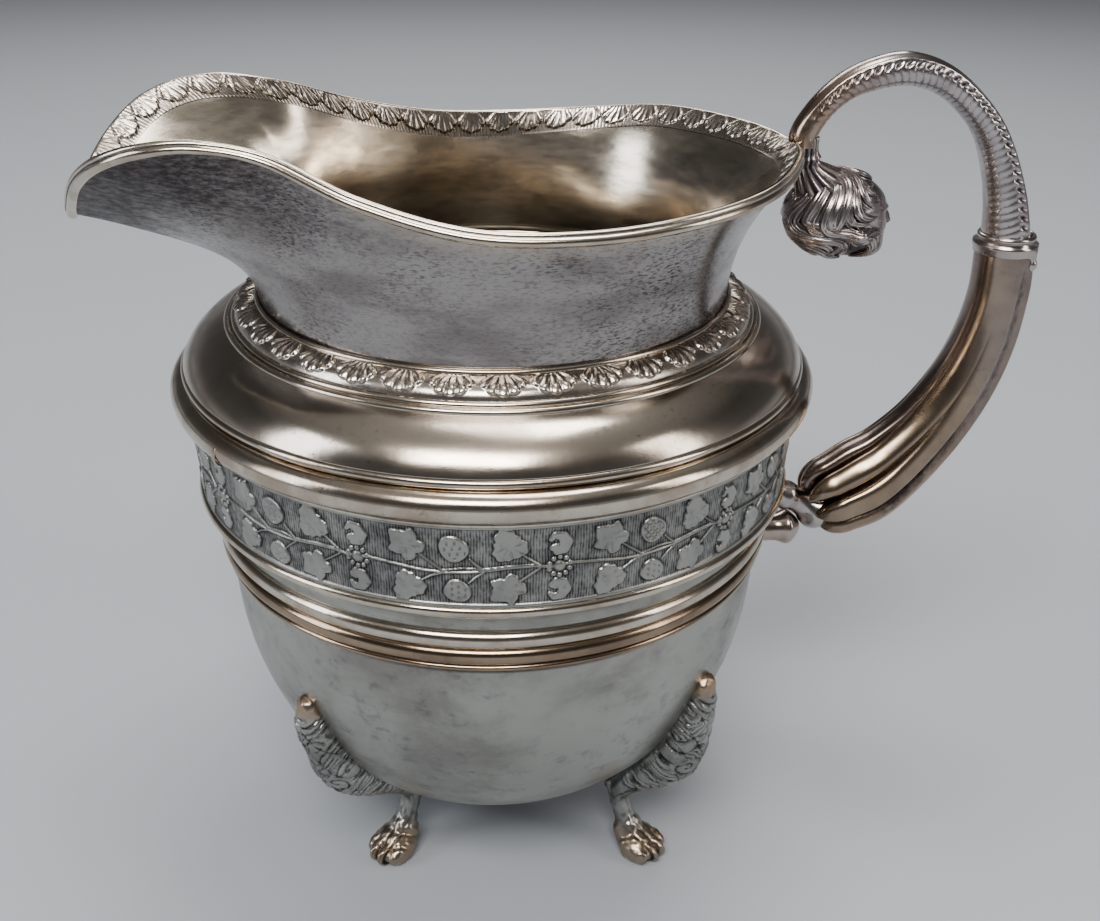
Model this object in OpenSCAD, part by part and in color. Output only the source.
// Footed silver cream jug: a raised bowl, a stack of soldered mouldings around a
// die-rolled band, a domed shoulder, a helmet-shaped neck with a broad pouring lip,
// a cast loop handle and four cast lion legs. Millimetres, Z up, standing on z = 0.

/* [Bowl] */
// Outer radius of the bowl where it meets the mouldings
bowl_r = 49.8; // [48:0.1:51]
// Height of the bowl's upper edge above the table
bowl_top_z = 66.2; // [65:0.1:67]
// Depth of the bowl below that edge
bowl_depth = 54.4; // [50:0.1:56]
// How full the bowl's curve is: 2 is an ellipse, more is squarer
bowl_fullness = 2.35; // [2:0.05:2.6]
// Thickness of the sheet silver
wall = 1.1; // [0.8:0.1:1.4]

/* [Mouldings] */
// Height of the top of the two reeds above the bowl
reed_top_z = 74; // [73:0.1:75]
// Radius of the crest of the two reeds
reed_r = 51.6; // [51:0.1:52.5]
// Height of the bottom edge of the decorated band
band_z = 80.3; // [79:0.1:81]
// Height of the decorated band
band_h = 14.3; // [13:0.1:15]
// Outer radius of the decorated band at its bottom edge
band_r = 53.7; // [53:0.1:54.2]
// Radius of the crest of the big half-round moulding
torus_r = 56.9; // [56:0.1:58]
// Height of the joint between the mouldings and the shoulder
shoulder_z = 102.4; // [102:0.1:103]

/* [Shoulder and collar] */
// Radius from the axis to the centre of the shoulder's dome curve
dome_centre_r = 38; // [37:0.5:39]
// Radial half width of the dome curve
dome_width = 16.8; // [16:0.1:17.5]
// Rise of the dome curve
dome_rise = 10.5; // [9.5:0.1:11]
// Height of the centre of the dome curve
dome_centre_z = 100; // [99:0.5:101]
// Outer radius of the leaf collar
collar_r = 45.2; // [44:0.1:46]
// Height of the top of the leaf collar
collar_top_z = 113; // [112:0.1:114]

/* [Neck and lip] */
// Outer radius of the neck at its foot
neck_r = 40.7; // [40:0.1:41.5]
// Reach of the pouring lip from the axis
spout_reach = 69.4; // [66:0.1:74]
// Height of the tip of the pouring lip
spout_tip_z = 127.6; // [124:0.1:130]
// Height of the shoulders of the pouring lip
spout_crown_z = 144.1; // [141:0.1:146]
// Radius of the rim at the handle
rim_back_r = 52.8; // [51:0.1:53.5]
// Height of the rim at the handle
rim_back_z = 135.6; // [134:0.1:137]
// Height of the lowest stretch of the rim
rim_low_z = 133.7; // [132:0.1:135]
// Half width of the mouth
mouth_half = 42.4; // [41:0.1:45]
// How late the neck flares out, as a power of the height
flare = 2.2; // [1.6:0.1:2.6]
// Width of the die-rolled leaf strip inside the lip
lip_strip_w = 4.6; // [3:0.1:6]
// Thickness of that strip
lip_strip_t = 0.8; // [0.5:0.1:1]
// Width of the wire around the outside of the lip
lip_wire_w = 1.3; // [1:0.1:2]
// Thickness of that wire
lip_wire_t = 0.6; // [0.4:0.1:0.8]

/* [Handle] */
// Reach of the handle from the jug's axis
handle_reach = 101.6; // [100:0.1:103]
// Height of the top of the handle
handle_top_z = 151.2; // [150:0.1:152]
// Thickness of the arch where it leaves the rim
arch_thin = 4.8; // [4:0.1:5.5]
// Thickness of the arch where it enters the sleeve
arch_thick = 9; // [8:0.1:9.5]
// Thickness of the fluted sleeve at its upper end
sleeve_thin = 10.8; // [10:0.1:11.5]
// Thickness of the fluted sleeve near its lower end
sleeve_thick = 18.6; // [17:0.1:19.5]
// Number of flutes around the sleeve
flutes = 8; // [6:1:10]

/* [Legs] */
// Angle of the legs from the handle's line
leg_angle = 43.5; // [40:0.5:48]
// How far the set of legs is turned from the handle's line
leg_turn = -3; // [-4:0.5:4]
// Radius of the ankle from the jug's axis
ankle_r = 31.6; // [31:0.1:33]
// How far the front left leg is bent in under the bowl
front_left_tuck = 6; // [0:0.5:6]
// Radius of the thigh's thickest part
thigh_round = 5; // [4.5:0.1:5.5]
// Radius of the shin
shin_round = 2.7; // [2.4:0.1:3]

/* [Hidden] */
$fn = 96;

axis_x = (spout_reach - handle_reach) / 2;   // the jug's axis, with the origin under the box's middle
reed_mid_z = (bowl_top_z + reed_top_z) / 2 + 0.5;
wire_h = 1.9;                                // height of the half-round wire under the band
thin_wire_h = 0.9;
band_top_z = band_z + band_h;
band_top_r = band_r + 0.6;
bead_z = shoulder_z - 1.7;
torus_z = band_top_z + thin_wire_h;
seat_z = dome_centre_z + dome_rise * dome_sin(neck_r);
step = 15;                                   // degrees between the points of a moulding's arc
around = 3;                                  // points between two stations of the lip
rows = 8;                                    // rows of points up the neck

silver = [0.72, 0.70, 0.66];
warm_silver = [0.74, 0.69, 0.62];
dark_silver = [0.42, 0.41, 0.42];
bronzed = [0.62, 0.50, 0.40];

// ---- helpers ----
function dome_sin(r) = sqrt(1 - pow((r - dome_centre_r) / dome_width, 2));
function arc(cr, cz, ar, az, from, to) =
    [for (a = [from : (to > from ? step : -step) : to]) [cr + ar * cos(a), cz + az * sin(a)]];
function unit(v) = v / norm(v);
function mix(a, b, t) = a + (b - a) * t;
function catmull(a, b, c, d, t) =
    0.5 * (2 * b + (c - a) * t + (2 * a - 5 * b + 4 * c - d) * t * t
           + (3 * b - a - 3 * c + d) * t * t * t);
function closed_curve(p, k) = let (n = len(p))
    [for (i = [0 : n - 1]) for (j = [0 : k - 1])
        catmull(p[(i + n - 1) % n], p[i], p[(i + 1) % n], p[(i + 2) % n], j / k)];
function open_curve(p, k) = let (n = len(p))
    concat([for (i = [0 : n - 2]) for (j = [0 : k - 1])
        catmull(p[max(i - 1, 0)], p[i], p[i + 1], p[min(i + 2, n - 1)], j / k)], [p[n - 1]]);

module turned(outline) translate([axis_x, 0, 0]) rotate_extrude() polygon(outline);

// A closed solid through rings of equal length, joined side to side and capped at both ends.
module loft(rings) {
    m = len(rings[0]);
    last = len(rings) - 1;
    polyhedron(
        points = [for (r = rings) each r],
        faces = concat(
            [for (j = [0 : last - 1]) for (i = [0 : m - 1])
                each [[j * m + i, j * m + (i + 1) % m, (j + 1) * m + i],
                      [j * m + (i + 1) % m, (j + 1) * m + (i + 1) % m, (j + 1) * m + i]]],
            [[for (i = [m - 1 : -1 : 0]) i]],
            [[for (i = [0 : m - 1]) last * m + i]]));
}

// A closed ring-shaped solid through loops, the last loop joined back to the first.
module loop_loft(loops) {
    m = len(loops[0]);
    n = len(loops);
    polyhedron(
        points = [for (r = loops) each r],
        faces = [for (j = [0 : n - 1]) for (i = [0 : m - 1])
            let (a = j * m + i, b = j * m + (i + 1) % m,
                 c = ((j + 1) % n) * m + i, d = ((j + 1) % n) * m + (i + 1) % m)
            each [[a, b, c], [b, d, c]]]);
}

// ---- bowl and mouldings ----
bowl_points = 15;
function bowl_point(r, depth, i) = let (a = 90 * i / bowl_points, power = 2 / bowl_fullness)
    [i == bowl_points ? 0 : r * pow(cos(a), power), bowl_top_z - depth * pow(sin(a), power)];

module bowl() color(silver) turned(concat(
    [for (i = [0 : bowl_points]) bowl_point(bowl_r, bowl_depth, i)],
    [for (i = [bowl_points : -1 : 0]) bowl_point(bowl_r - wall, bowl_depth - wall, i)]));

// A half-round ring between two heights, with a flat inner face.
module half_round(inner, outer, z0, z1, crest)
    turned(concat([[inner, z0]], arc(outer, (z0 + z1) / 2, crest, (z1 - z0) / 2, -90, 90), [[inner, z1]]));

module lower_reed() color(warm_silver)
    half_round(bowl_r - wall, reed_r - 1.6, bowl_top_z, reed_mid_z, 1.5);
module upper_reed() color(warm_silver)
    half_round(bowl_r - wall, reed_r - 1.5, reed_mid_z, reed_top_z, 1.7);

module cavetto_ring() {
    top = band_z - wire_h;
    drop = top - reed_top_z;
    reach = 2.6;
    color(silver) turned(concat(
        [[bowl_r - wall, reed_top_z]],
        [for (a = [0 : step : 90]) [reed_r - 0.8 + reach * (1 - cos(a)), reed_top_z + drop * sin(a)]],
        [[band_r - wall - 0.4, top]]));
}

module band_lower_wire() color(warm_silver)
    half_round(band_r - wall - 0.4, band_r - 0.4, band_z - wire_h, band_z, 0.9);

module decorated_band() {
    edge = 0.5;
    color(dark_silver) turned([
        [band_r - wall, band_z], [band_r, band_z], [band_r, band_z + edge], [band_r - edge, band_z + 2 * edge],
        [band_top_r - edge, band_top_z - 2 * edge], [band_top_r, band_top_z - edge], [band_top_r, band_top_z],
        [band_top_r - wall - 0.4, band_top_z]]);
}

module band_upper_wire() color(warm_silver)
    half_round(band_top_r - wall - 0.4, band_top_r, band_top_z, torus_z, 0.4);

module torus_ring() color(silver)
    half_round(band_top_r - wall - 0.4, band_top_r, torus_z, bead_z, torus_r - band_top_r);

module shoulder_bead() color(warm_silver)
    half_round(band_top_r - wall - 0.4, band_top_r - 0.4, bead_z, shoulder_z, 0.9);

// ---- shoulder and collar ----
function dome(inset) = let (a = dome_width - inset, b = dome_rise - inset,
        low = asin((shoulder_z - dome_centre_z) / b), high = acos((neck_r - wall - dome_centre_r) / a))
    [for (i = [0 : 12]) let (t = mix(low, high, i / 12))
        [dome_centre_r + a * cos(t), dome_centre_z + b * sin(t)]];

module shoulder() color(silver) turned(concat(
    [for (p = dome(0)) if (p[0] > neck_r) p],
    [[neck_r, seat_z], [neck_r - wall, seat_z]],
    [for (i = [12 : -1 : 0]) dome(wall)[i]]));

module leaf_collar() color(silver) turned(concat(
    [[neck_r, seat_z]],
    [for (r = [neck_r + 0.5 : 1 : collar_r]) [r, dome_centre_z + dome_rise * dome_sin(r)]],
    [[collar_r, dome_centre_z + dome_rise * dome_sin(collar_r)]],
    arc(neck_r + 1, seat_z - 0.4, collar_r - neck_r - 1, collar_top_z - seat_z + 0.4, 15, 90),
    [[neck_r, collar_top_z]]));

module collar_wire() {
    z = dome_centre_z + dome_rise * dome_sin(collar_r);
    under = dome_centre_z + dome_rise * dome_sin(collar_r + 1.8);
    color(warm_silver) turned(concat(
        [[collar_r, z]],
        arc(collar_r + 0.45, z + 0.2, 0.45, 0.55, 165, 0),
        arc(collar_r + 1.35, z - 0.5, 0.45, 0.6, 90, 0),
        [[collar_r + 1.8, under]]));
}

// ---- neck and lip ----
// Half of the rim, from the handle to the tip of the lip: the angle at the neck's foot that each
// station grows from, then its place on the rim as x, y and z.
half_rim = [
    [0, rim_back_r, 0, rim_back_z],
    [20, rim_back_r - 4.2, 15, rim_back_z + 0.6],
    [40, rim_back_r - 14.3, 31.4, rim_back_z + 0.3],
    [60, rim_back_r - 27.5, mouth_half - 3.2, rim_low_z + 0.9],
    [80, 9, mouth_half, rim_low_z],
    [100, -8, mouth_half - 1.1, rim_low_z + 0.6],
    [120, -23.6, 36, rim_low_z + 4.2],
    [136, -35.8, 29, spout_crown_z - 1.7],
    [149, 24 - spout_reach, 27.6, spout_crown_z - 0.1],
    [159, 15.9 - spout_reach, 26.2, spout_crown_z - 1],
    [167, 9.4 - spout_reach, 22.6, spout_crown_z - 3.6],
    [173, 4.6 - spout_reach, 15.4, spout_crown_z - 8],
    [177.5, 1.4 - spout_reach, 6.8, spout_crown_z - 13.4],
    [180, -spout_reach, 0, spout_tip_z]];
mirrored = [for (i = [len(half_rim) - 2 : -1 : 1]) let (s = half_rim[i]) [360 - s[0], s[1], -s[2], s[3]]];
rim_line = [for (s = closed_curve([for (s = concat(half_rim, mirrored)) [s[1], s[2], s[3]]], around)) s];
foot_angle = let (a = [for (s = concat(half_rim, mirrored)) s[0]], n = len(a))
    [for (i = [0 : n - 1]) for (j = [0 : around - 1]) mix(a[i], i == n - 1 ? 360 : a[i + 1], j / around)];
stations = len(rim_line);

function foot(i) = neck_r * [cos(foot_angle[i]), sin(foot_angle[i])];
// A point of the neck's outer surface: i goes round, v goes from the collar (0) to the rim (1).
function skin(i, v) = let (k = (i + stations) % stations, s = rim_line[k], f = foot(k), t = pow(v, flare))
    [mix(f[0], s[0], t), mix(f[1], s[1], t), mix(collar_top_z, s[2], v)];
function outward(i, v) = let (w = max(v, 0.02))
    unit(cross(skin(i + 1, w) - skin(i - 1, w), skin(i, w + 0.01) - skin(i, w - 0.01)));
function offset_skin(i, v, d) = skin(i, v) + d * outward(i, v);
// How far up the neck, as v, a strip of the given width starts below the rim.
function strip_start(i, width) = 1 - width / (norm(skin(i, 1) - skin(i, 0.98)) / 0.02);
function ring_at(v, d) = [for (i = [0 : stations - 1]) offset_skin(i, v, d)];
function straight_ring(r, z) = [for (a = foot_angle) [r * cos(a), r * sin(a), z]];
function strip_ring(width, share, d) =
    [for (i = [0 : stations - 1]) offset_skin(i, mix(strip_start(i, width), 1, share), d)];

module neck() color(silver) translate([axis_x, 0, 0]) loop_loft(concat(
    [straight_ring(neck_r, seat_z), straight_ring(neck_r, collar_top_z)],
    [for (j = [1 : rows]) ring_at(j / rows, 0)],
    [for (j = [rows : -1 : 1]) ring_at(j / rows, -wall)],
    [straight_ring(neck_r - wall, collar_top_z), straight_ring(neck_r - wall, seat_z)]));

// A strip that lies along the rim, between two distances from the neck's outer surface.
module rim_strip(width, near, far) translate([axis_x, 0, 0]) loop_loft(concat(
    [for (share = [0, 0.5, 1]) strip_ring(width, share, far)],
    [for (share = [1, 0.5, 0]) strip_ring(width, share, near)]));

module lip_strip() color(silver) rim_strip(lip_strip_w, -wall - lip_strip_t, -wall);
module lip_wire() color(warm_silver) rim_strip(lip_wire_w, 0, lip_wire_t);

// What the back of the neck and its wire fill: cut from the pieces that are soldered to them.
module neck_block() turned(concat(
    [[0, collar_top_z]],
    [for (j = [0 : rows]) let (v = j / rows)
        [mix(neck_r, rim_back_r, pow(v, flare)), mix(collar_top_z, rim_back_z, v)]],
    [[rim_back_r + lip_wire_t, rim_back_z], [0, rim_back_z]]));

// ---- handle ----
ferrule_z = 115.6;
sleeve_end = [65.8, 63.6];
sleeve_end_tilt = 24;    // angle of the sleeve's axis above the level at its lower end
// Stations in the handle's plane: x from the jug's axis, z, thickness in that plane, width across it.
arch_foot = [54.3, rim_back_z];
arch_line = [
    [arch_foot[0], arch_foot[1], arch_thin, 5.6],
    [arch_foot[0], arch_foot[1] + 2.4, arch_thin, 5.4],
    [57, handle_top_z - 9, 4.6, 5.4],
    [61, handle_top_z - 5.6, 4.9, 5.6],
    [65.8, handle_top_z - 3.7, 5.5, 6],
    [71.1, handle_top_z - 2.9, 5.8, 6.4],
    [76.9, handle_top_z - 4.1, 5.4, 6.6],
    [82.2, handle_top_z - 7.2, 5.2, 6.8],
    [87.6, handle_top_z - 12.4, 5.4, 7.2],
    [91.2, handle_top_z - 18.4, 6.3, 7.6],
    [94.2, 124.8, 7.6, 8.2],
    [95.7, ferrule_z + 2, arch_thick, 9]];
sleeve_line = [
    [96, ferrule_z, sleeve_thin, 10.6],
    [handle_reach - 5.4, 106.6, sleeve_thin, 10.8],
    [94.9, 97.2, 11.8, 11.4],
    [91.8, 88.3, 13, 12.2],
    [86.6, 79.5, 14.6, 13.2],
    [80.2, 72.2, 16.8, 14.8],
    [74.6, 67.9, sleeve_thick, 16.2],
    [69.4, 65.2, sleeve_thick - 1.2, 15.4],
    [sleeve_end[0], sleeve_end[1], sleeve_thick - 7.6, 10]];

// One ring of the handle at station i of a line. Its outline is an oval with raised flutes.
function handle_ring(line, i, sides, count, height) =
    let (n = len(line), a = line[max(i - 1, 0)], b = line[min(i + 1, n - 1)], s = line[i],
         along = unit([b[0] - a[0], b[1] - a[1]]), out = [-along[1], along[0]])
    [for (k = [0 : sides - 1])
        let (t = -360 * k / sides, swell = 1 - height * (1 - abs(cos(count * t / 2))),
             u = s[2] / 2 * cos(t) * swell, v = s[3] / 2 * sin(t) * swell)
        [axis_x + s[0] + out[0] * u, v, s[1] + out[1] * u]];

module handle_tube(line, fine, sides, count = 1, height = 0) {
    smooth = open_curve(line, fine);
    loft([for (i = [0 : len(smooth) - 1]) handle_ring(smooth, i, sides, count, height)]);
}

module handle_arch() color(warm_silver) handle_tube(arch_line, 3, 16);

module handle_sleeve() color(dark_silver) handle_tube(sleeve_line, 3, 48, flutes, 0.16);

module handle_ferrule() color(warm_silver) handle_tube([
    [95.7, ferrule_z + 2, arch_thick + 0.8, 9.8],
    [95.9, ferrule_z + 1, sleeve_thin + 0.2, 10.9],
    [96, ferrule_z, sleeve_thin + 0.2, 10.9]], 2, 32);

// The cast head that ends the arch: swept-back hair around a rounded block with a flat underside.
module handle_head() color(warm_silver) difference() {
    translate([axis_x, 0, 0]) {
        translate([arch_foot[0], 0, 127]) cylinder(r = 2.7, h = arch_foot[1] - 127);
        hull() {
            translate([50, 0, 131]) sphere(2.4, $fn = 16);
            translate([arch_foot[0], 0, 132]) sphere(2.6, $fn = 16);
        }
        hull() {
            translate([56.2, 0, 127.6]) sphere(4.2, $fn = 16);
            translate([62, 0, 123.4]) sphere(8.2, $fn = 24);
            translate([66.2, 0, 122]) sphere(5.4, $fn = 16);
            translate([65.6, 0, 118.4]) sphere(4, $fn = 16);
        }
    }
    neck_block();
}

// The cast stem that joins the sleeve's lower end to the mouldings.
module handle_bracket() color(dark_silver) difference() {
    translate([axis_x, 0, 0]) {
        hull() {
            translate([51.5, 0, 68.4]) sphere(2.9, $fn = 20);
            translate([59.5, 0, 65.6]) sphere(2.7, $fn = 20);
        }
        hull() {
            translate([59.5, 0, 65.6]) sphere(2.7, $fn = 20);
            translate([64.2, 0, 62.8]) sphere(4.2, $fn = 20);
        }
    }
    solid_body();
    translate([axis_x + sleeve_end[0], 0, sleeve_end[1]]) rotate([0, -sleeve_end_tilt, 0])
        translate([0, -10, -10]) cube([20, 20, 20]);
}

module handle_lug() color(silver) difference() {
    translate([axis_x, 0, bowl_top_z - 8]) rotate([0, 90, 0]) {
        cylinder(r = 2.9, h = 58.8);
        translate([0, 0, 58.8]) intersection() {
            sphere(3.6);
            translate([0, 0, -2]) cylinder(r = 4, h = 4.8);
        }
    }
    solid_body();
}

// ---- legs ----
// The bowl and its reeds, filled in: cut from the pieces that are soldered against them.
module solid_body() turned(concat(
    [for (i = [bowl_points : -1 : 0]) bowl_point(bowl_r, bowl_depth, i)],
    [[reed_r, bowl_top_z], [reed_r, reed_top_z], [reed_r, band_z], [0, band_z]]));

module ball(x, z, r, y = 0) translate([x, y, z]) sphere(r, $fn = 20);

// A lion's hind leg, from its thigh on the bowl down to its paw. The tuck moves its lower end inwards.
module leg(angle, tuck = 0) color(bronzed) difference() {
    translate([axis_x, 0, 0]) rotate([0, 0, angle]) {
        hull() {
            ball(48.2, 47, 2.7);
            ball(46 - tuck / 4, 37, thigh_round);
            ball(42 - tuck / 4, 36, thigh_round - 1);
            ball(43 - tuck / 2, 27.2, thigh_round);
        }
        hull() {
            ball(42 - tuck / 2, 26.4, thigh_round - 0.4);
            ball(37.5 - tuck / 2, 25.5, thigh_round - 1.6);
            ball(ankle_r - tuck, 13.6, shin_round + 0.3);
        }
        hull() {
            ball(ankle_r - tuck, 13.6, shin_round + 0.3);
            ball(ankle_r + 1.6 - tuck, 7, shin_round);
        }
        hull() {
            ball(ankle_r + 1.6 - tuck, 6.4, shin_round);
            ball(ankle_r + 3 - tuck, 3, 3.1);
            for (side = [-1, 1]) {
                ball(ankle_r + 8 - tuck, 2.2, 2.2, side * 2.5);
                ball(ankle_r + 3.6 - tuck, 1.8, 2.2, side * 2.2);
            }
        }
    }
    solid_body();
    translate([-100, -100, -20]) cube([200, 200, 20]);
}

module leg_front_left() leg(180 + leg_angle + leg_turn, front_left_tuck);
module leg_front_right() leg(-leg_angle + leg_turn);
module leg_back_left() leg(180 - leg_angle + leg_turn);
module leg_back_right() leg(leg_angle + leg_turn);

bowl();
lower_reed();
upper_reed();
cavetto_ring();
band_lower_wire();
decorated_band();
band_upper_wire();
torus_ring();
shoulder_bead();
shoulder();
leaf_collar();
collar_wire();
neck();
lip_strip();
lip_wire();
handle_head();
handle_arch();
handle_ferrule();
handle_sleeve();
handle_bracket();
handle_lug();
leg_front_left();
leg_front_right();
leg_back_left();
leg_back_right();
